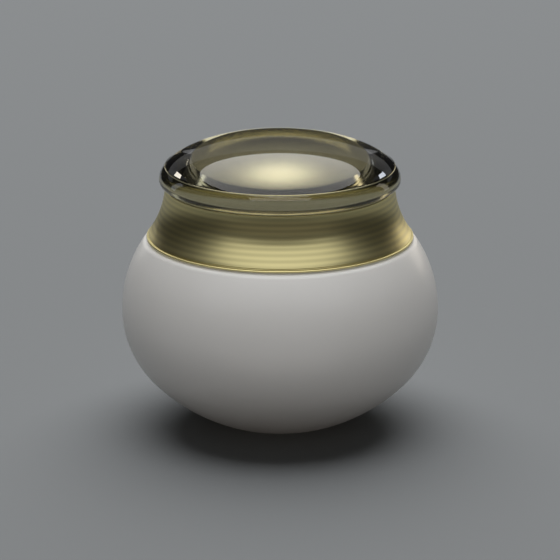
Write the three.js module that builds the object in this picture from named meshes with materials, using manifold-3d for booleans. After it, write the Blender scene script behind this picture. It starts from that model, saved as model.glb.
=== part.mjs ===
// Cosmetic cream jar: a lacquered glass bulb with an inner cup, closed by a screw cap made of a
// flared aluminium collar with a solid clear dome on top. Millimetres, +Z up. The origin is the
// centre of the foot, on the surface that the jar stands on.
import * as THREE from 'three';
import { mergeVertices } from 'three/addons/utils/BufferGeometryUtils.js';
import Module from 'manifold-3d';

const wasm = await Module();
wasm.setup();

// ---- Driving dimensions -------------------------------------------------------------------
const TURN_SEGMENTS = 56; // facets round every turned piece
const EDGE_STEPS = 2; // facets in a rounded edge

const bulb = {
  bellyRadius: 36, bellyHeight: 25.8, // widest point
  lowerSideRadius: 22.5, upperSideRadius: 28.2, bottomRadius: 41.3, // the three arcs of the outline
  footInner: 10.6, footSlope: 0.6, puntHeight: 0.8, // standing ring and the recess inside it
  shoulderHeight: 42.4, shoulderEdge: 0.2, // ledge under the collar
  neckRadius: 22.5, neckTop: 49.25, neckFillet: 0.8, mouthEdge: 0.4,
  boreRadius: 20.3, boreFloor: 3.9, boreCorner: 8,
};
const thread = {
  lead: 6, starts: 2, turns: 0.62, // each ridge covers this part of a turn
  baseWidth: 1.3, crestWidth: 0.7, height: 0.9, root: 0.4, taperTurns: 0.06,
  neckMiddle: 46.3, stepsPerTurn: 40,
};
const cup = {
  radius: 19.95, wall: 0.95, floor: 4.2, corner: 7.7,
  flangeRadius: 22.4, flangeBottom: 49.4, flangeTop: 50.3, flangeEdge: 0.3, mouthEdge: 0.4,
};
const shive = {
  panRadius: 18.5, wall: 0.8, panBottom: 48.9, sheet: 0.6,
  flangeRadius: 22, flangeBottom: 50.4, flangeTop: 51,
  panEdge: 0.4, flangeEdge: 0.3,
  ringOuter: 7, ringInner: 4.6, ringBottom: 50, ringTop: 50.7, footSize: 2.4, footStep: 0.1,
};
const liner = { radius: 22.2, bottom: 51.25, top: 52.05 };
const insert = {
  boreRadius: 23.7, skirtRadius: 24.9, skirtBottom: 43.3,
  plateBottom: 52.3, plateTop: 53.15, plateEdge: 0.5,
  flangeRadius: 28.1, flangeTop: 44.1,
  ribs: 8, ribWidth: 1.2, ribTop: 52.4, ribGap: 0.35, ribRoot: 0.3, // ribRoot is sunk in the skirt
};
const collar = {
  bottomRadius: 30.5, bottom: 42.7, topRadius: 26.05, top: 54.55,
  hollow: 0.94, wall: 0.8, edge: 0.25, // hollow is how far the flare bows in from straight
  lipInner: 25.3, seatTop: 53.95, seatBottom: 53.35, seatInner: 20,
};
const carrier = {
  plateBottom: 54.1, plateTop: 54.6, plateRadius: 25,
  bossRadius: 18.35, bossEdge: 56.8, bossRise: 2.6, bossWall: 1, // boss with a domed top
  rimRadius: 26.1, rimInner: 25.4, rimBottom: 54.7, rimTop: 54.9,
  spigotOuter: 19.6, spigotInner: 18.6, spigotBottom: 53.5,
};
const pad = { radius: 18.2, gap: 0.05, thickness: 0.2 }; // gap and thickness above the boss
const dome = {
  rimRadius: 27.4, rimHeight: 56.3, rise: 9.55, base: 55, baseRadius: 26.05,
  hollowGap: 0.3, hollowRadius: 18.45, // the hollow that fits over the boss and its pad
  crownSteps: 10, underSteps: 4,
};
const BOSS_STEPS = 8; // facets from the edge of the boss to its middle
const label = { radius: 9.4, bottom: 0.55, top: 0.75 };

// ---- Outlines: points of (radius, height), listed counter-clockwise --------------------------
function arc(centreR, centreZ, radiusR, radiusZ, fromAngle, toAngle, steps) {
  const points = [];
  for (let i = 0; i <= steps; i++) {
    const angle = fromAngle + ((toAngle - fromAngle) * i) / steps;
    const r = centreR + radiusR * Math.cos(angle);
    points.push(new THREE.Vector2(r, centreZ + radiusZ * Math.sin(angle)));
  }
  return points;
}

// Turns [r, z, fillet] corners into points, with each fillet as a short arc.
function outline(corners) {
  const points = [];
  const count = corners.length;
  corners.forEach(([r, z, fillet = 0], i) => {
    const here = new THREE.Vector2(r, z);
    if (!fillet) {
      points.push(here);
      return;
    }
    const before = new THREE.Vector2(...corners[(i + count - 1) % count].slice(0, 2));
    const after = new THREE.Vector2(...corners[(i + 1) % count].slice(0, 2));
    const toBefore = before.sub(here).normalize();
    const toAfter = after.sub(here).normalize();
    const halfAngle = Math.acos(toBefore.dot(toAfter)) / 2;
    const reach = fillet / Math.tan(halfAngle);
    const start = here.clone().addScaledVector(toBefore, reach);
    const end = here.clone().addScaledVector(toAfter, reach);
    const steps = fillet > 2 ? EDGE_STEPS * 2 : EDGE_STEPS;
    const middle = toBefore.clone().add(toAfter).normalize();
    const centre = here.clone().addScaledVector(middle, fillet / Math.sin(halfAngle));
    const from = start.clone().sub(centre).angle();
    let sweep = end.clone().sub(centre).angle() - from;
    if (sweep > Math.PI) sweep -= 2 * Math.PI;
    if (sweep < -Math.PI) sweep += 2 * Math.PI;
    points.push(...arc(centre.x, centre.y, fillet, fillet, from, from + sweep, steps));
  });
  return points;
}

// ---- Solids ---------------------------------------------------------------------------------
function turned(points) {
  const geometry = new THREE.LatheGeometry(points, TURN_SEGMENTS);
  geometry.rotateX(Math.PI / 2);
  return geometry;
}

function toManifold(geometry) {
  const bare = geometry.clone();
  bare.deleteAttribute('normal');
  bare.deleteAttribute('uv');
  const merged = mergeVertices(bare, 1e-4);
  const flat = [];
  const index = merged.index.array;
  for (let i = 0; i < index.length; i += 3) {
    const [a, b, c] = [index[i], index[i + 1], index[i + 2]];
    if (a !== b && b !== c && c !== a) flat.push(a, b, c);
  }
  const mesh = new wasm.Mesh({
    numProp: 3,
    vertProperties: new Float32Array(merged.attributes.position.array),
    triVerts: new Uint32Array(flat),
  });
  return new wasm.Manifold(mesh);
}

function toGeometry(solid) {
  const mesh = solid.getMesh();
  const geometry = new THREE.BufferGeometry();
  geometry.setAttribute('position', new THREE.BufferAttribute(mesh.vertProperties, 3));
  geometry.setIndex(new THREE.BufferAttribute(mesh.triVerts, 1));
  geometry.computeVertexNormals();
  return geometry;
}

// One thread ridge wound up a right-hand helix. outward is +1 on a neck and -1 in a cap.
function threadRidge(wallRadius, outward, middle, startAngle) {
  const steps = Math.round(thread.turns * thread.stepsPerTurn);
  const positions = [];
  for (let i = 0; i <= steps; i++) {
    const turn = (thread.turns * i) / steps;
    const angle = startAngle + turn * 2 * Math.PI;
    const z = middle + (turn - thread.turns / 2) * thread.lead;
    const fade = Math.min(1, turn / thread.taperTurns, (thread.turns - turn) / thread.taperTurns);
    const root = wallRadius - outward * thread.root;
    const sunk = (thread.root / 2) * (1 - fade);
    const crest = wallRadius + outward * (thread.height * fade - sunk);
    const section = [
      [root, -thread.baseWidth / 2],
      [crest, -thread.crestWidth / 2],
      [crest, thread.crestWidth / 2],
      [root, thread.baseWidth / 2],
    ];
    for (const [r, dz] of section) positions.push(r * Math.cos(angle), r * Math.sin(angle), z + dz);
  }
  const index = [];
  const quad = (a, b, c, d) => index.push(a, b, c, a, c, d);
  for (let i = 0; i < steps; i++) {
    for (let j = 0; j < 4; j++) {
      const k = (j + 1) % 4;
      quad(i * 4 + j, (i + 1) * 4 + j, (i + 1) * 4 + k, i * 4 + k);
    }
  }
  quad(0, 1, 2, 3);
  const last = steps * 4;
  quad(last + 3, last + 2, last + 1, last);
  if (outward < 0) index.reverse();
  const geometry = new THREE.BufferGeometry();
  geometry.setAttribute('position', new THREE.Float32BufferAttribute(positions, 3));
  geometry.setIndex(index);
  return geometry;
}

function withThread(solid, wallRadius, outward, phase) {
  let result = solid;
  for (let start = 0; start < thread.starts; start++) {
    const angle = phase + (start * 2 * Math.PI) / thread.starts;
    const ridge = threadRidge(wallRadius, outward, thread.neckMiddle, angle);
    result = result.add(toManifold(ridge));
  }
  return result;
}

// ---- The jar body ---------------------------------------------------------------------------
function glassBulb() {
  const b = bulb;
  const lowerCentre = b.bellyRadius - b.lowerSideRadius;
  const upperCentre = b.bellyRadius - b.upperSideRadius;
  const drop = Math.sqrt((b.bottomRadius - b.lowerSideRadius) ** 2 - lowerCentre ** 2);
  const bottomCentre = b.bellyHeight + drop;
  const footAngle = -Math.asin(bottomCentre / b.bottomRadius);
  const joinAngle = -Math.atan2(drop, lowerCentre);
  const shoulderAngle = Math.asin(
    (b.shoulderHeight - b.shoulderEdge - b.bellyHeight) / b.upperSideRadius);
  const shoulder = upperCentre + b.upperSideRadius * Math.cos(shoulderAngle);
  const outside = [
    ...arc(0, bottomCentre, b.bottomRadius, b.bottomRadius, footAngle, joinAngle, 4),
    ...arc(lowerCentre, b.bellyHeight, b.lowerSideRadius, b.lowerSideRadius, joinAngle, 0, 7)
      .slice(1),
    ...arc(upperCentre, b.bellyHeight, b.upperSideRadius, b.upperSideRadius, 0, shoulderAngle, 6)
      .slice(1),
  ];
  const under = outline([
    [0, b.puntHeight], [b.footInner - b.footSlope, b.puntHeight], [b.footInner, 0],
  ]);
  const inside = outline([
    [shoulder - b.shoulderEdge, b.shoulderHeight],
    [b.neckRadius, b.shoulderHeight, b.neckFillet],
    [b.neckRadius, b.neckTop, b.mouthEdge],
    [b.boreRadius, b.neckTop, b.mouthEdge],
    [b.boreRadius, b.boreFloor, b.boreCorner],
    [0, b.boreFloor],
  ]);
  const body = toManifold(turned([...under, ...outside, ...inside]));
  return toGeometry(withThread(body, b.neckRadius, 1, 0));
}

function innerCup() {
  const bore = cup.radius - cup.wall;
  return turned(outline([
    [0, cup.floor],
    [cup.radius, cup.floor, cup.corner],
    [cup.radius, cup.flangeBottom],
    [cup.flangeRadius, cup.flangeBottom],
    [cup.flangeRadius, cup.flangeTop, cup.flangeEdge],
    [bore, cup.flangeTop, cup.mouthEdge],
    [bore, cup.floor + cup.wall, cup.corner - cup.wall],
    [0, cup.floor + cup.wall],
  ]));
}

function baseLabel() {
  return turned(outline([
    [0, label.bottom], [label.radius, label.bottom], [label.radius, label.top], [0, label.top],
  ]));
}

// ---- The sealing disc over the cup ------------------------------------------------------------
function sealingDisc() {
  const s = shive;
  const pan = toManifold(turned(outline([
    [0, s.panBottom],
    [s.panRadius, s.panBottom, s.panEdge],
    [s.panRadius, s.flangeBottom],
    [s.flangeRadius, s.flangeBottom],
    [s.flangeRadius, s.flangeTop],
    [s.panRadius - s.wall, s.flangeTop, s.flangeEdge],
    [s.panRadius - s.wall, s.panBottom + s.sheet],
    [0, s.panBottom + s.sheet],
  ])));
  const ring = new THREE.Shape().absarc(0, 0, s.ringOuter, 0, 2 * Math.PI);
  ring.holes.push(new THREE.Path().absarc(0, 0, s.ringInner, 0, 2 * Math.PI, true));
  const pull = new THREE.ExtrudeGeometry(ring, {
    depth: s.ringTop - s.ringBottom, bevelEnabled: false, curveSegments: 12,
  });
  pull.translate(0, 0, s.ringBottom);
  const footHeight = s.ringTop - s.panBottom - s.sheet / 2;
  const foot = new THREE.BoxGeometry(s.footSize * 2, s.footSize, footHeight);
  foot.translate(0, (s.ringOuter + s.ringInner) / 2, s.ringTop - footHeight / 2 - s.footStep);
  return toGeometry(pan.add(toManifold(pull)).add(toManifold(foot)));
}

// ---- The cap ----------------------------------------------------------------------------------
function capLiner() {
  return turned(outline([
    [0, liner.bottom], [liner.radius, liner.bottom], [liner.radius, liner.top], [0, liner.top],
  ]));
}

// The flare is one hollow arc. Its centre lies outside the collar.
const flare = (() => {
  const foot = new THREE.Vector2(collar.bottomRadius, collar.bottom);
  const head = new THREE.Vector2(collar.topRadius, collar.top);
  const chord = head.clone().sub(foot);
  const radius = (chord.length() ** 2 / 4 + collar.hollow ** 2) / (2 * collar.hollow);
  const outward = new THREE.Vector2(chord.y, -chord.x).normalize();
  const centre = foot.clone().add(head).multiplyScalar(0.5)
    .addScaledVector(outward, radius - collar.hollow);
  return { centre, radius };
})();

// Radius of the flare at a height, inset measured square to the wall.
function flareRadius(height, inset = 0) {
  const reach = flare.radius + inset;
  return flare.centre.x - Math.sqrt(reach ** 2 - (flare.centre.y - height) ** 2);
}

function flareLine(fromHeight, toHeight, inset, steps) {
  const reach = flare.radius + inset;
  const angleAt = (height) => Math.PI + Math.asin((flare.centre.y - height) / reach);
  return arc(flare.centre.x, flare.centre.y, reach, reach,
    angleAt(fromHeight), angleAt(toHeight), steps);
}

function collarShell() {
  const c = collar;
  const inner = flareRadius(c.bottom, c.wall);
  const edge = outline([[inner, c.bottom], [c.bottomRadius - c.edge, c.bottom]]);
  const outer = flareLine(c.bottom + c.edge, c.top - c.edge, 0, 7);
  const top = outline([
    [c.topRadius - c.edge, c.top],
    [c.lipInner, c.top],
    [c.lipInner, c.seatTop],
    [c.seatInner, c.seatTop],
    [c.seatInner, c.seatBottom],
  ]);
  const back = flareLine(c.seatBottom, c.bottom, c.wall, 5);
  return turned([...edge, ...outer, ...top, ...back]);
}

function threadedInsert() {
  const n = insert;
  let body = toManifold(turned(outline([
    [0, n.plateBottom],
    [n.boreRadius, n.plateBottom],
    [n.boreRadius, n.skirtBottom],
    [n.flangeRadius, n.skirtBottom],
    [n.flangeRadius, n.flangeTop],
    [n.skirtRadius, n.flangeTop],
    [n.skirtRadius, n.plateTop, n.plateEdge],
    [0, n.plateTop],
  ])));
  const ribLine = flareLine(n.flangeTop, n.ribTop, collar.wall + n.ribGap, 4);
  const root = n.skirtRadius - n.ribRoot;
  const side = new THREE.Shape([
    new THREE.Vector2(root, n.flangeTop - n.ribRoot),
    ...ribLine,
    new THREE.Vector2(root, n.ribTop),
  ]);
  for (let i = 0; i < n.ribs; i++) {
    const rib = new THREE.ExtrudeGeometry(side, { depth: n.ribWidth, bevelEnabled: false });
    rib.translate(0, 0, -n.ribWidth / 2);
    rib.rotateX(Math.PI / 2);
    rib.rotateZ((i * 2 * Math.PI) / n.ribs);
    body = body.add(toManifold(rib));
  }
  const halfPitchTurn = Math.PI / thread.starts;
  return toGeometry(withThread(body, n.boreRadius, -1, halfPitchTurn));
}

// The domed top of the carrier's boss, from a radius in to the axis, raised by a lift.
function bossLine(fromRadius, lift) {
  const points = [];
  for (let i = 0; i <= BOSS_STEPS; i++) {
    const r = fromRadius * (1 - i / BOSS_STEPS);
    const z = carrier.bossEdge + carrier.bossRise * (1 - (r / carrier.bossRadius) ** 2);
    points.push(new THREE.Vector2(r, z + lift));
  }
  return points;
}

function domeCarrier() {
  const c = carrier;
  const hollowRadius = c.bossRadius - c.bossWall;
  const hollow = bossLine(hollowRadius, -c.bossWall).reverse();
  const rest = outline([
    [hollowRadius, c.plateBottom],
    [c.spigotInner, c.plateBottom],
    [c.spigotInner, c.spigotBottom],
    [c.spigotOuter, c.spigotBottom],
    [c.spigotOuter, c.plateBottom],
    [c.plateRadius, c.plateBottom],
    [c.plateRadius, c.rimBottom],
    [c.rimRadius, c.rimBottom],
    [c.rimRadius, c.rimTop],
    [c.rimInner, c.rimTop],
    [c.rimInner, c.plateTop],
    [c.bossRadius, c.plateTop],
  ]);
  return turned([...hollow, ...rest, ...bossLine(c.bossRadius, 0)]);
}

function bondingPad() {
  const under = bossLine(pad.radius, pad.gap).reverse();
  return turned([...under, ...bossLine(pad.radius, pad.gap + pad.thickness)]);
}

function clearDome() {
  const d = dome;
  const hollow = bossLine(d.hollowRadius, d.hollowGap).reverse();
  hollow.push(new THREE.Vector2(d.hollowRadius, d.base));
  const under = arc(d.baseRadius, d.rimHeight, d.rimRadius - d.baseRadius, d.rimHeight - d.base,
    -Math.PI / 2, 0, d.underSteps);
  const crown = arc(0, d.rimHeight, d.rimRadius, d.rise, 0, Math.PI / 2, d.crownSteps).slice(1);
  crown[crown.length - 1].x = 0;
  return turned([...hollow, ...under, ...crown]);
}

// ---- Assembly -----------------------------------------------------------------------------------
const finishes = {
  whiteLacquer: { color: '#e4e3e0', roughness: 0.42, metalness: 0 },
  whitePlastic: { color: '#f2f1ec', roughness: 0.4, metalness: 0 },
  foam: { color: '#f6f5f1', roughness: 0.9, metalness: 0 },
  paper: { color: '#f4f4f2', roughness: 0.6, metalness: 0 },
  goldAnodised: { color: '#b9a76a', roughness: 0.3, metalness: 1 },
  goldMetallised: { color: '#c9bb84', roughness: 0.22, metalness: 1 },
  clearAcrylic: { color: '#f4f6f6', roughness: 0.02, metalness: 0 },
};
const clearWhenThin = { transparent: true, opacity: 0.35 };

function piece(name, geometry, finish, extra = {}) {
  const material = new THREE.MeshStandardMaterial({ ...finishes[finish], ...extra });
  const mesh = new THREE.Mesh(geometry, material);
  mesh.name = name;
  return mesh;
}

function inGroup(...members) {
  const result = new THREE.Group();
  result.add(...members);
  return result;
}

const jarBody = inGroup(
  piece('glass_bulb', glassBulb(), 'whiteLacquer'),
  piece('inner_cup', innerCup(), 'whitePlastic'),
  piece('base_label', baseLabel(), 'paper'),
);
const screwCap = inGroup(
  piece('threaded_insert', threadedInsert(), 'whitePlastic'),
  piece('collar_shell', collarShell(), 'goldAnodised'),
  piece('dome_carrier', domeCarrier(), 'goldMetallised'),
  piece('bonding_pad', bondingPad(), 'clearAcrylic', clearWhenThin),
  piece('clear_dome', clearDome(), 'clearAcrylic', clearWhenThin),
  piece('cap_liner', capLiner(), 'foam'),
);
const group = inGroup(jarBody, piece('sealing_disc', sealingDisc(), 'whitePlastic'), screwCap);

export default group;
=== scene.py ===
import bmesh
import bpy
import math
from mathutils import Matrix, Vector


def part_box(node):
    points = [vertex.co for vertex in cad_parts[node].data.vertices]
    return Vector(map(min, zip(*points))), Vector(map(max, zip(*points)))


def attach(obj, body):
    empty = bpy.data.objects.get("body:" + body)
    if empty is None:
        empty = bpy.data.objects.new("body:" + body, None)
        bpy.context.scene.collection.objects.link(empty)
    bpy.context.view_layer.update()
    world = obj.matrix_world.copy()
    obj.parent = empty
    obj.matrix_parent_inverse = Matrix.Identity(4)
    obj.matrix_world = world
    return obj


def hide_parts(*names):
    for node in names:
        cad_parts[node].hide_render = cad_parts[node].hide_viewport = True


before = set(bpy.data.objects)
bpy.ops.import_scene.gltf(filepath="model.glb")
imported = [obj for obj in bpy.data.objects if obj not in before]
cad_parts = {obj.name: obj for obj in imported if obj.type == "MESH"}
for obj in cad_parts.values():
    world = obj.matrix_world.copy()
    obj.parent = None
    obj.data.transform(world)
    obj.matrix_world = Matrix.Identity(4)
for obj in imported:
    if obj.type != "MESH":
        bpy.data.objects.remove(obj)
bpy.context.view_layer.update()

# ---- Sizes, in millimetres unless the name says otherwise -------------------------------------
MM = 0.001
TURNS, DOME_TURNS, PULL_TURNS = 288, 360, 96       # facets round the turned pieces
SHARP_DEGREES = 32                                 # steeper edges than this stay crisp
LARGE_EDGE = 2.0                                   # rounder edges than this get more points
WELD = 0.0001                                      # points closer than this become one


def ends(node):
    """Outer radius, lowest and highest height of a turned CAD piece, in millimetres."""
    low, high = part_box(node)
    return high.x / MM, low.z / MM, high.z / MM


# ---- Outlines: (radius, height) points, listed counter-clockwise -------------------------------
def arc(centre, radii, start, end, steps):
    """Points along part of a circle or an ellipse, angles in radians."""
    (cr, cz), (rr, rz) = centre, radii
    turn = [start + (end - start) * i / steps for i in range(steps + 1)]
    return [(cr + rr * math.cos(a), cz + rz * math.sin(a)) for a in turn]


def rounded(corners):
    """Corners (radius, height, edge radius) with each edge worked to a small arc."""
    points = []
    for i, (r, z, edge) in enumerate(corners):
        here = Vector((r, z))
        if edge == 0:
            points.append((r, z))
            continue
        before = (Vector(corners[i - 1][:2]) - here).normalized()
        after = (Vector(corners[(i + 1) % len(corners)][:2]) - here).normalized()
        half = before.angle(after) / 2
        centre = here + (before + after).normalized() * (edge / math.sin(half))
        start = here + before * (edge / math.tan(half)) - centre
        end = here + after * (edge / math.tan(half)) - centre
        from_angle = math.atan2(start.y, start.x)
        sweep = (math.atan2(end.y, end.x) - from_angle + math.pi) % (2 * math.pi) - math.pi
        steps = 10 if edge > LARGE_EDGE else 6
        points += arc(centre, (edge, edge), from_angle, from_angle + sweep, steps)
    return points


# ---- Making pieces -------------------------------------------------------------------------------
def add_piece(name, work, body, finish, replaced):
    """Links one finished mesh, smooths it, and ties it to its CAD body and node."""
    mesh = bpy.data.meshes.new(name)
    work.normal_update()
    work.to_mesh(mesh)
    work.free()
    mesh.shade_smooth()
    mesh.set_sharp_from_angle(angle=math.radians(SHARP_DEGREES))
    mesh.materials.append(finish)
    piece = bpy.data.objects.new(name, mesh)
    bpy.context.scene.collection.objects.link(piece)
    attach(piece, body)
    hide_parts(*replaced)
    return piece


def spin(outline, turns=TURNS):
    """A closed turned solid from an outline in millimetres, as a bmesh in metres."""
    work = bmesh.new()
    rings = []
    for r, z in outline:
        if r == 0:
            rings.append([work.verts.new((0, 0, z * MM))])
            continue
        ring = []
        for i in range(turns):
            a = 2 * math.pi * i / turns
            ring.append(work.verts.new((r * MM * math.cos(a), r * MM * math.sin(a), z * MM)))
        rings.append(ring)
    for low, high in zip(rings, rings[1:]):
        for i in range(turns):
            j = (i + 1) % turns
            if len(low) == 1:
                work.faces.new((low[0], high[j], high[i]))
            elif len(high) == 1:
                work.faces.new((low[i], low[j], high[0]))
            else:
                work.faces.new((low[i], low[j], high[j], high[i]))
    return work


def spin_ring(outline, turns=TURNS):
    """A turned ring whose outline closes on itself."""
    work = spin(outline + [outline[0]], turns)
    bmesh.ops.remove_doubles(work, verts=work.verts, dist=WELD * MM)
    return work


# ---- Materials -----------------------------------------------------------------------------------
def linear(hex_colour):
    """sRGB hex to linear RGBA."""
    parts = [int(hex_colour[i:i + 2], 16) / 255 for i in (1, 3, 5)]
    return [c / 12.92 if c <= 0.04045 else ((c + 0.055) / 1.055) ** 2.4 for c in parts] + [1.0]


def dimmed(colour, amount):
    """A linear colour made darker or lighter, its alpha left at 1."""
    return [c * amount for c in colour[:3]] + [1.0]


class Finish:
    """A material being mixed: one call adds a node with its settings and its links."""

    def __init__(self, name):
        self.material = bpy.data.materials.new(name)
        self.material.use_nodes = True
        self.tree = self.material.node_tree
        self.shader = self.tree.nodes["Principled BSDF"]

    def add(self, kind, links=(), **settings):
        """Adds one node with its settings and the sockets that feed it."""
        node = self.tree.nodes.new(kind)
        for key, value in settings.items():
            if hasattr(node, key):
                setattr(node, key, value)
            else:
                node.inputs[key.replace("_", " ")].default_value = value
        for socket, source in dict(links).items():
            self.tree.links.new(source, node.inputs[socket])
        return node

    def base(self, **sockets):
        """Sets what is the same all over the surface."""
        for key, value in sockets.items():
            self.shader.inputs[key.replace("_", " ")].default_value = value

    def link(self, source, socket):
        self.tree.links.new(source, self.shader.inputs[socket])

    def feel(self, height, strength, depth):
        """Raises the surface by a pattern. depth is in millimetres."""
        bump = self.add("ShaderNodeBump", {"Height": height}, Strength=strength, Distance=depth * MM)
        self.link(bump.outputs["Normal"], "Normal")


def white_lacquer():
    """Satin white lacquer sprayed on glass: a broad soft sheen over a faint orange peel."""
    f = Finish("white_lacquer_on_glass")
    f.base(IOR=1.5, Coat_Weight=0.25, Coat_Roughness=0.2)
    place = f.add("ShaderNodeTexCoord").outputs["Object"]
    peel_size, cloud_size = 1.2 * MM, 18 * MM
    peel = f.add("ShaderNodeTexNoise", {"Vector": place}, Scale=1 / peel_size, Detail=2.0)
    cloud = f.add("ShaderNodeTexNoise", {"Vector": place}, Scale=1 / cloud_size, Detail=3.0)
    tone = f.add("ShaderNodeMix", {"Factor": cloud.outputs["Fac"]}, data_type="RGBA")
    tone.inputs["A"].default_value = linear("#d6d4d0")
    tone.inputs["B"].default_value = linear("#dbd9d6")
    f.link(tone.outputs["Result"], "Base Color")
    gloss = f.add("ShaderNodeMapRange", {"Value": cloud.outputs["Fac"]}, To_Min=0.35, To_Max=0.41)
    f.link(gloss.outputs["Result"], "Roughness")
    f.feel(peel.outputs["Fac"], 0.12, 0.01)
    return f.material


TOOL_PITCH, TOOL_START = 1.26, 43.7                # the collar's tool bands, and the height of one band's painted dark middle
TOOL_PAINTED_SHADE = 0.8                                   # how dark the painted shade in the middle of a band is
TOOL_RIPPLE = 0.006                                # how deep the bands are
TOOL_LINE, TOOL_ARC = 0.22, 60                     # the fine lines, drawn coarser than real to show


def turned_gold():
    """Aluminium turned on a lathe and gold anodised: reflections smear across the tool lines, and each
    tool band has painted shade in its middle.
    """
    colour, across, streak = linear("#f4e7a9"), 0.32, 0.06
    f = Finish("turned_anodised_gold")
    f.base(Metallic=1.0, Anisotropic=0.7)
    tangent = f.add("ShaderNodeTangent", direction_type="RADIAL", axis="Z")
    f.link(tangent.outputs["Tangent"], "Tangent")
    place = f.add("ShaderNodeTexCoord").outputs["Object"]
    lines = f.add("ShaderNodeMapping", {"Vector": place})
    around, along = 1 / (TOOL_ARC * MM), 1 / (TOOL_LINE * MM)
    lines.inputs["Scale"].default_value = (around, around, along)
    noise = f.add("ShaderNodeTexNoise", {"Vector": lines.outputs["Vector"]}, Scale=1.0, Detail=4.0)
    tone = f.add("ShaderNodeMix", {"Factor": noise.outputs["Fac"]}, data_type="RGBA")
    tone.inputs["A"].default_value = dimmed(colour, 1 - streak)
    tone.inputs["B"].default_value = dimmed(colour, 1 + streak)
    # Painted shade: a wave darkens the gold's colour in the middle of each tool band. It stands in for
    # the shade of the grooves between the bright reflection bands.
    painted_shade_bands = f.add("ShaderNodeTexWave", {"Vector": place}, bands_direction="Z",
                 Scale=math.pi / 10 / (TOOL_PITCH * MM),
                 Phase_Offset=math.pi * (1 - 2 * TOOL_START / TOOL_PITCH))
    painted_band_shade = f.add("ShaderNodeMix", {"Factor": painted_shade_bands.outputs["Fac"], "A": tone.outputs["Result"]},
                  data_type="RGBA")
    painted_band_shade.inputs["B"].default_value = dimmed(colour, TOOL_PAINTED_SHADE)
    f.link(painted_band_shade.outputs["Result"], "Base Color")
    gloss = f.add("ShaderNodeMapRange", {"Value": noise.outputs["Fac"]},
                  To_Min=across - 0.05, To_Max=across + 0.05)
    f.link(gloss.outputs["Result"], "Roughness")
    f.feel(noise.outputs["Fac"], 0.15, 0.01)
    return f.material


def metallised_gold():
    """Vacuum metallised plastic: a satin gold mirror with no grain."""
    f = Finish("metallised_gold")
    f.base(Base_Color=linear("#d8cfa6"), Metallic=1.0)
    place = f.add("ShaderNodeTexCoord").outputs["Object"]
    mist_size = 3 * MM
    mist = f.add("ShaderNodeTexNoise", {"Vector": place}, Scale=1 / mist_size, Detail=2.0)
    gloss = f.add("ShaderNodeMapRange", {"Value": mist.outputs["Fac"]}, To_Min=0.125, To_Max=0.135)
    f.link(gloss.outputs["Result"], "Roughness")
    return f.material


def clear_acrylic():
    """Cast and polished acrylic: water clear, sharp reflections, strong bending at the rim."""
    f = Finish("clear_acrylic")
    f.base(Base_Color=linear("#fbfcfc"), Transmission_Weight=1.0, IOR=1.49, Roughness=0.0)
    return f.material


def moulded_plastic(name, colour, rough):
    """Injection-moulded polypropylene: waxy and even, with a spark-eroded grain, drawn coarse."""
    f = Finish(name)
    f.base(Base_Color=linear(colour), Roughness=rough, IOR=1.49, Subsurface_Weight=0.15,
           Subsurface_Scale=0.6 * MM)
    place = f.add("ShaderNodeTexCoord").outputs["Object"]
    grain_size = 0.25 * MM
    grain = f.add("ShaderNodeTexNoise", {"Vector": place}, Scale=1 / grain_size, Detail=2.0)
    f.feel(grain.outputs["Fac"], 0.2, 0.01)
    return f.material


def liner_foam():
    """Closed-cell polyethylene foam: matt white with cells you can just see."""
    f = Finish("liner_foam")
    f.base(Base_Color=linear("#f1efea"), Roughness=0.9)
    place = f.add("ShaderNodeTexCoord").outputs["Object"]
    cell_size = 0.4 * MM
    cells = f.add("ShaderNodeTexVoronoi", {"Vector": place}, Scale=1 / cell_size)
    f.feel(cells.outputs["Distance"], 0.5, 0.05)
    return f.material


def label_film():
    """Plain white polypropylene label film, slightly silky."""
    f = Finish("label_film")
    f.base(Base_Color=linear("#efefec"), Roughness=0.45)
    place = f.add("ShaderNodeTexCoord").outputs["Object"]
    ripple_size = 0.8 * MM
    ripple = f.add("ShaderNodeTexNoise", {"Vector": place}, Scale=1 / ripple_size, Detail=3.0)
    f.feel(ripple.outputs["Fac"], 0.1, 0.01)
    return f.material


# ---- The jar's pieces -----------------------------------------------------------------------------
LEAD, STARTS, RIDGE_TURNS = 6.0, 2, 0.62          # the two-start screw thread
RIDGE_HEIGHT, RIDGE_BASE, RIDGE_CREST = 0.9, 1.3, 0.7
RIDGE_FADE = 0.06                                 # the part of a turn in which a ridge runs out
THREAD_MIDDLE = 46.3
NECK_RADIUS, THREAD_BORE = 22.5, 23.7             # the walls that carry the threads
ON_WALL = 0.01                                    # a point this near a wall is on it


def ridge(angle, z, phase):
    """How far the thread stands out of its wall, 0 to 1, at an angle and a height."""
    best = 0.0
    for start in range(STARTS):
        turn = (angle - phase) / (2 * math.pi) - start / STARTS
        for lap in (-1, 0, 1, 2):
            t = turn + lap
            if not 0 <= t <= RIDGE_TURNS:
                continue
            middle = THREAD_MIDDLE + (t - RIDGE_TURNS / 2) * LEAD
            away = abs(z - middle)
            side = (RIDGE_BASE / 2 - away) / ((RIDGE_BASE - RIDGE_CREST) / 2)
            fade = min(1.0, t / RIDGE_FADE, (RIDGE_TURNS - t) / RIDGE_FADE)
            best = max(best, min(1.0, max(0.0, side)) * max(0.0, fade))
    return best


def cut_thread(work, wall_radius, outward, phase):
    """Moves the vertices of a finely divided wall out or in to make the thread."""
    for v in work.verts:
        r, z = math.hypot(v.co.x, v.co.y) / MM, v.co.z / MM
        if abs(r - wall_radius) < ON_WALL and abs(z - THREAD_MIDDLE) < LEAD / 2:
            stand = ridge(math.atan2(v.co.y, v.co.x) % (2 * math.pi), z, phase)
            grow = (r + outward * RIDGE_HEIGHT * stand) / r
            v.co.x *= grow
            v.co.y *= grow


def wall(radius, start, end, step=0.12):
    """Closely spaced points up or down a straight wall, fine enough for a thread."""
    count = int(abs(end - start) / step)
    return [(radius, start + (end - start) * i / count) for i in range(count + 1)]


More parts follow.
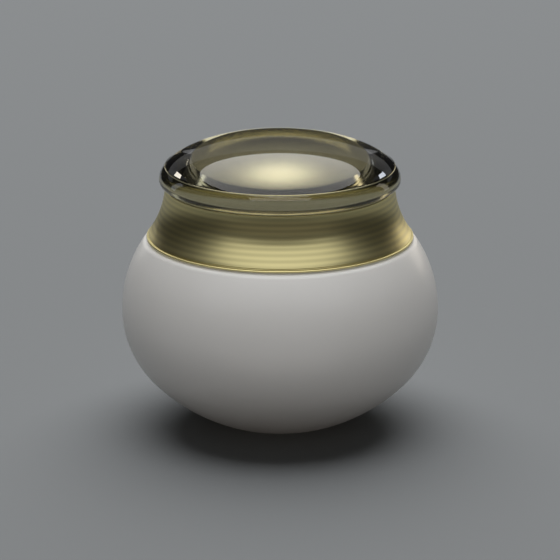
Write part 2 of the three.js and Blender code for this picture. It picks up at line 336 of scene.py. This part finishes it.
def bulb_outline():
    """The foot ring, three arcs up the side, the shoulder, the neck and the bore."""
    belly, _, neck_top = ends("glass_bulb")
    belly_height = 25.8
    side_low, side_high, bottom = 22.5, 28.2, 41.3       # radii of the three outline arcs
    low_centre, high_centre = belly - side_low, belly - side_high
    drop = math.sqrt((bottom - side_low) ** 2 - low_centre ** 2)
    bottom_height = belly_height + drop
    bottom_start = 0.3                                   # the height at which the lowest arc starts
    foot_angle = -math.asin((bottom_height - bottom_start) / bottom)
    join = -math.atan2(drop, low_centre)
    shoulder_edge = 2.0                                  # rounded over into the collar's gap
    shoulder_angle = math.radians(33.8)
    recess, recess_r, ring_in, ring_out = 0.8, 9.6, 10.6, 13.6
    foot = rounded([(0, recess, 0), (recess_r, recess, 0.3), (ring_in, 0.0, 0.4),
                    (ring_out, 0.0, 0.6), (14.9, 0.42, 0)])[:-1]
    outside = arc((0, bottom_height), (bottom, bottom), foot_angle, join, 24)
    outside += arc((low_centre, belly_height), (side_low, side_low), join, 0, 40)[1:]
    outside += arc((high_centre, belly_height), (side_high, side_high), 0, shoulder_angle, 32)[1:]
    r, z = outside[-1]
    inward = (r - shoulder_edge * math.cos(shoulder_angle),
              z - shoulder_edge * math.sin(shoulder_angle))
    turn_in = arc(inward, (shoulder_edge, shoulder_edge), shoulder_angle, math.pi / 2, 16)[1:]
    r, shoulder = turn_in[-1]
    neck_low, neck_high = 43.3, 48.7
    fillet = rounded([(r - 2, shoulder, 0), (NECK_RADIUS, shoulder, 0.8),
                      (NECK_RADIUS, neck_low, 0)])[1:-1]
    bore, bore_floor = 20.3, 3.9
    inside = rounded([(NECK_RADIUS, neck_high, 0), (NECK_RADIUS, neck_top, 0.3), (bore, neck_top, 0.5),
                      (bore, bore_floor, 8.0), (0, bore_floor, 0)])[1:]
    return foot + outside + turn_in + fillet + wall(NECK_RADIUS, neck_low, neck_high) + inside


def make_bulb():
    work = spin(bulb_outline())
    cut_thread(work, NECK_RADIUS, 1, 0.0)
    return add_piece("bulb_glass", work, "jar", white_lacquer(),
                     ["glass_bulb"])


def make_cup(plastic):
    flange, low, top = ends("inner_cup")
    side, bore = 19.95, 19.0
    under_flange, floor = top - 0.9, low + 0.95
    outline = rounded([(0, low, 0), (side, low, 7.7), (side, under_flange, 0.2),
                       (flange, under_flange, 0.15), (flange, top, 0.3), (bore, top, 0.4),
                       (bore, floor, 6.75), (0, floor, 0)])
    return add_piece("cream_cup", spin(outline), "jar", plastic, ["inner_cup"])


def make_label():
    radius, low, high = ends("base_label")
    outline = rounded([(0, low, 0), (radius, low, 0.04), (radius, high, 0.04), (0, high, 0)])
    return add_piece("foot_label", spin(outline), "jar", label_film(), ["base_label"])


def pull_ring():
    inner, outer, low, high, edge = 4.6, 7.0, 50.0, 50.7, 0.25
    return spin_ring(rounded([(inner, low, edge), (outer, low, edge), (outer, high, edge),
                              (inner, high, edge)]), PULL_TURNS)


def add_pull_foot(work):
    """The block that joins the pull ring to the pan."""
    wide, deep, tall, off_axis, middle, edge = 4.4, 2.0, 0.9, 5.8, 49.85, 0.15
    foot = bmesh.ops.create_cube(work, size=1.0)["verts"]
    for v in foot:
        v.co.x *= wide * MM
        v.co.y = v.co.y * deep * MM + off_axis * MM
        v.co.z = v.co.z * tall * MM + middle * MM
    edges = list({e for v in foot for e in v.link_edges})
    bmesh.ops.bevel(work, geom=edges, offset=edge * MM, segments=3, affect="EDGES")


def make_disc(plastic):
    """A shallow pan with a flange and a pull ring standing on one foot."""
    flange, low, high = ends("sealing_disc")
    outer, inner, thick = 18.5, 17.7, 0.6
    work = spin(rounded([(0, low, 0), (outer, low, 0.5), (outer, high - thick, 0.15),
                         (flange, high - thick, 0.2), (flange, high, 0.25), (inner, high, 0.3),
                         (inner, low + thick, 0.4), (0, low + thick, 0)]))
    ring = pull_ring()
    mesh = bpy.data.meshes.new("pull")
    ring.to_mesh(mesh)
    ring.free()
    work.from_mesh(mesh)
    bpy.data.meshes.remove(mesh)
    add_pull_foot(work)
    return add_piece("seal_disc", work, "disc", plastic, ["sealing_disc"])


# ---- The cap's pieces -------------------------------------------------------------------------------
def flare_points(inset, start, end, steps, ripple=0.0):
    """The collar's hollow flare from one height to another. ripple waves it as a turning tool does."""
    bottom_r, bottom = 30.5, 42.7
    top_r, top = 26.05, 54.55
    hollow = 0.94                                  # how far the flare bows in from straight
    chord = Vector((top_r - bottom_r, top - bottom))
    radius = (chord.length ** 2 / 4 + hollow ** 2) / (2 * hollow)
    outward = Vector((chord.y, -chord.x)).normalized()
    centre = Vector((bottom_r + top_r, bottom + top)) / 2 + outward * (radius - hollow)
    bands_low, grow, bands_high, die = bottom + 0.7, 0.5, 51.5, 2.5
    reach = radius + inset
    points = []
    for i in range(steps + 1):
        z = start + (end - start) * i / steps
        wave = ripple * (0.5 - 0.5 * math.cos(2 * math.pi * (z - TOOL_START) / TOOL_PITCH))
        rise = max(0.0, min(1.0, (z - bands_low) / grow))
        fall = max(0.0, min(1.0, (bands_high - z) / die))
        points.append((centre.x - math.sqrt(reach ** 2 - (centre.y - z) ** 2) - wave * rise * fall, z))
    return points


def make_collar():
    """A foot bead, a groove, the flare, a lip, a seat for the carrier and the hollow inside."""
    bottom_r, bottom, top = ends("collar_shell")
    bead_edge, groove_low, groove_high, groove_depth = 0.24, 0.55, 0.9, 0.28
    rim_r, rim_edge, thick = 26.05, 0.25, 0.8
    seat_outer, seat_inner, seat_low, seat_top = 25.3, 20.0, 53.35, 53.95
    bead = arc((bottom_r - bead_edge, bottom + bead_edge), (bead_edge, bead_edge),
               -math.pi / 2, math.pi * 0.45, 8)
    groove = flare_points(groove_depth, bottom + groove_low, bottom + groove_high - 0.05, 1)
    outer = flare_points(0, bottom + groove_high, top - rim_edge, 220, ripple=TOOL_RIPPLE)
    lip = rounded([(rim_r, top - rim_edge, 0), (rim_r, top, 0.12), (seat_outer, top, 0.1),
                   (seat_outer, seat_top, 0.1), (seat_inner, seat_top, 0.15),
                   (seat_inner, seat_low, 0.15), (seat_outer, seat_low, 0)])[1:-1]
    inner = flare_points(thick, seat_low, bottom, 40)
    return add_piece("turned_collar", spin_ring(bead + groove + outer + lip + inner), "cap",
                     turned_gold(), ["collar_shell"])


def make_insert(plastic):
    """The inner cap: a flat top, a threaded skirt and a flange that carries the collar."""
    flange, bottom, top = ends("threaded_insert")
    skirt, ceiling, flange_top = 24.9, 52.3, 44.1
    thread_high, thread_low = 49.1, 43.5
    inside = rounded([(0, ceiling, 0), (THREAD_BORE, ceiling, 0.3), (THREAD_BORE, thread_high, 0)])[:-1]
    outside = rounded([(THREAD_BORE, flange_top, 0), (THREAD_BORE, bottom, 0.15), (flange, bottom, 0.2),
                       (flange, flange_top, 0.2), (skirt, flange_top, 0.2), (skirt, top, 0.5),
                       (0, top, 0)])[1:]
    work = spin(inside + wall(THREAD_BORE, thread_high, thread_low) + outside)
    cut_thread(work, THREAD_BORE, -1, math.pi / STARTS)
    return add_piece("screw_insert", work, "cap", plastic, ["threaded_insert"])


BOSS_RADIUS, BOSS_EDGE, BOSS_RISE = 18.35, 56.8, 2.6  # the gold boss and its domed top
BOSS_FLARE, BOSS_STEPS = 0.15, 24                     # the cone at its foot, the points up its top
DOME_BASE = 55.0                                      # the dome's flat underside


def boss_line(sink=0.0):
    """The boss from the foot of its side, over its edge and up its domed top to the axis."""
    side = BOSS_RADIUS - sink
    points = [(side + BOSS_FLARE, DOME_BASE), (side, DOME_BASE + BOSS_FLARE)]
    for i in range(BOSS_STEPS + 1):
        r = side * (1 - i / BOSS_STEPS)
        points.append((r, BOSS_EDGE - sink + BOSS_RISE * (1 - (r / BOSS_RADIUS) ** 2)))
    return points


def make_carrier():
    """A plate with a spigot below, a rim ring round it and the boss in its middle."""
    rim, low, high = ends("dome_carrier")
    spigot_in, spigot_out, plate_r, rim_in = 18.6, 19.6, 25.0, 25.4
    plate_low, plate_top, rim_low = 54.1, 54.6, 54.7
    rim_top = high                                    # as high as the boss, the CAD's stops at 54.9
    outline = rounded([(0, plate_low, 0), (spigot_in, plate_low, 0), (spigot_in, low, 0.1),
                       (spigot_out, low, 0.1), (spigot_out, plate_low, 0), (plate_r, plate_low, 0.1),
                       (plate_r, rim_low, 0), (rim, rim_low, 0.08), (rim, rim_top, 0.08),
                       (rim_in, rim_top, 0.08), (rim_in, plate_top, 0),
                       (BOSS_RADIUS + BOSS_FLARE, plate_top, 0)])
    return add_piece("gold_carrier", spin(outline + boss_line()), "cap", metallised_gold(),
                     ["dome_carrier"])


def make_dome():
    """The dome with its bonding pad. The pad wets the gold boss, so no air is left between."""
    rim, base, top = ends("clear_dome")
    rim_height, flat, bond = 56.3, 26.05, 0.04
    under = boss_line(bond)[::-1]
    under += arc((flat, rim_height), (rim - flat, rim_height - base), -math.pi / 2, 0, 24)
    crown = arc((0, rim_height), (rim, top - rim_height), 0, math.pi / 2, 110)[1:-1]
    return add_piece("acrylic_dome", spin(under + crown + [(0, top)], DOME_TURNS), "cap",
                     clear_acrylic(), ["clear_dome", "bonding_pad"])


def make_liner():
    radius, low, high = ends("cap_liner")
    outline = rounded([(0, low, 0), (radius, low, 0.2), (radius, high, 0.2), (0, high, 0)])
    return add_piece("foam_liner", spin(outline), "liner", liner_foam(), ["cap_liner"])


# ---- Floor, light and camera: distances in metres ------------------------------------------------
def make_floor():
    half_width = 0.62
    work = bmesh.new()
    bmesh.ops.create_grid(work, x_segments=8, y_segments=8, size=half_width)
    mesh = bpy.data.meshes.new("studio_floor")
    work.to_mesh(mesh)
    work.free()
    f = Finish("studio_floor")
    f.base(Base_Color=linear("#8f9294"), Roughness=0.9)
    mesh.materials.append(f.material)
    floor = bpy.data.objects.new("studio_floor", mesh)
    bpy.context.scene.collection.objects.link(floor)
    return floor


def set_links(lamp, role, state, objects):
    """Keeps a light, or its shadows, on or off some objects, as flags do in a studio."""
    group = bpy.data.collections.new(lamp.name + "_" + role)
    for thing in objects:
        group.objects.link(thing)
    for entry in group.collection_objects:
        entry.light_linking.link_state = state
    setattr(lamp.light_linking, role, group)


def softbox(name, aim, azimuth, elevation, distance, size, radiance, colour, shape):
    """An area light of a given brightness, aimed at the jar. Azimuth 0 is the camera's side."""
    light = bpy.data.lights.new(name, "AREA")
    light.shape = shape
    light.size, light.size_y = size
    area = size[0] * size[1] * (math.pi / 4 if shape == "ELLIPSE" else 1)
    light.energy = radiance * math.pi * area
    light.color = linear(colour)[:3]
    a, e = math.radians(azimuth), math.radians(elevation)
    out = Vector((math.sin(a) * math.cos(e), -math.cos(a) * math.cos(e), math.sin(e)))
    lamp = bpy.data.objects.new(name, light)
    lamp.location = aim + out * distance
    lamp.rotation_euler = out.to_track_quat("Z", "Y").to_euler()
    lamp.visible_camera = False
    bpy.context.scene.collection.objects.link(lamp)
    return lamp


def make_lights(aim, floor, bulb, dome, cap):
    """Each row: name, azimuth, elevation, distance, size, radiance, colour, shape, rule, objects.

    The rule lights only the objects, or leaves them out."""
    box, oval, only, leave_out = "RECTANGLE", "ELLIPSE", "INCLUDE", "EXCLUDE"
    rows = [
        ("overhead_round_box", 180, 75.5, 1.0, (1.3, 1.8), 2.1, "#ffffff", oval, leave_out, [floor]),
        ("front_wide_box", 0, 44, 1.3, (3.2, 0.9), 0.74, "#fbfdff", box, leave_out, [floor, dome]),
        ("left_edge_strip", -156, 8, 1.0, (0.4, 0.28), 1.5, "#f4f2ec", box, leave_out, [floor, dome]),
        ("right_edge_strip", 150, 8, 1.0, (0.56, 0.28), 1.7, "#fff6e6", box, leave_out, [floor, dome]),
        ("rear_low_box", 180, 22, 1.2, (2.6, 0.36), 0.17, "#ffffff", oval, only, [dome]),
        ("front_low_fill", 0, 8, 1.3, (3.6, 0.3), 0.1, "#fff8ee", box, leave_out, [floor]),
        ("dome_front_fill", 0, 40, 1.3, (5.0, 0.9), 0.28, "#fffaf0", oval, only, [dome]),
        ("dome_front_crest", 0, 55, 1.3, (1.1, 0.35), 1.6, "#ffffff", box, only, [dome]),
        ("dome_strip_right", 119, 14, 1.0, (0.14, 0.5), 1.2, "#fff6e6", box, only, [dome]),
        ("dome_strip_left", -119, 14, 1.0, (0.14, 0.5), 0.9, "#eef4ff", box, only, [dome]),
        ("sweep_light", 180, 62, 3.0, (3.9, 4.3), 2.65, "#ffffff", oval, only, [floor]),
        ("shoulder_light", 0, 68, 1.1, (1.2, 0.5), 1.35, "#ffffff", box, only, [bulb]),
        ("under_fill", 0, -28, 1.1, (1.6, 0.5), 0.36, "#fff4ea", box, only, [bulb]),
    ]
    lamps = {}
    for name, azimuth, elevation, distance, size, radiance, colour, shape, rule, objects in rows:
        lamp = softbox(name, aim, azimuth, elevation, distance, size, radiance, colour, shape)
        set_links(lamp, "receiver_collection", rule, objects)
        lamps[name] = lamp
    set_links(lamps["shoulder_light"], "blocker_collection", leave_out, cap)
    set_links(lamps["under_fill"], "blocker_collection", leave_out, [floor])


def make_world():
    """A faint even glow, so that nothing the lights miss is quite black."""
    world = bpy.data.worlds.new("studio")
    world.use_nodes = True
    glow = world.node_tree.nodes["Background"]
    glow.inputs["Color"].default_value = linear("#ffffff")
    glow.inputs["Strength"].default_value = 0.02
    bpy.context.scene.world = world


def make_camera(aim):
    """A long lens a metre away, looking a little down."""
    lens_data = bpy.data.cameras.new("camera")
    lens_data.sensor_width, lens_data.lens = 36.0, 289.3
    distance, elevation = 1.0253, math.radians(16.4)
    out = Vector((0, -math.cos(elevation), math.sin(elevation)))
    camera = bpy.data.objects.new("camera", lens_data)
    camera.location = aim + out * distance
    camera.rotation_euler = out.to_track_quat("Z", "Y").to_euler()
    bpy.context.scene.collection.objects.link(camera)
    bpy.context.scene.camera = camera


# ---- The jar, put together -------------------------------------------------------------------------
AIM_HEIGHT = 32.3                                  # where the camera and the lights point

cup_plastic = moulded_plastic("moulded_white_plastic", "#f0eee8", 0.42)
bulb = make_bulb()
make_cup(cup_plastic)
make_label()
make_disc(moulded_plastic("thin_disc_plastic", "#f3f2ee", 0.35))
collar = make_collar()
dome = make_dome()
cap = [collar, dome, make_insert(cup_plastic), make_carrier()]
make_liner()
studio_floor = make_floor()
jar_aim = Vector((0, 0, AIM_HEIGHT * MM))
make_lights(jar_aim, studio_floor, bulb, dome, cap)
make_world()
make_camera(jar_aim)
bpy.context.scene.view_settings.view_transform = "Standard"
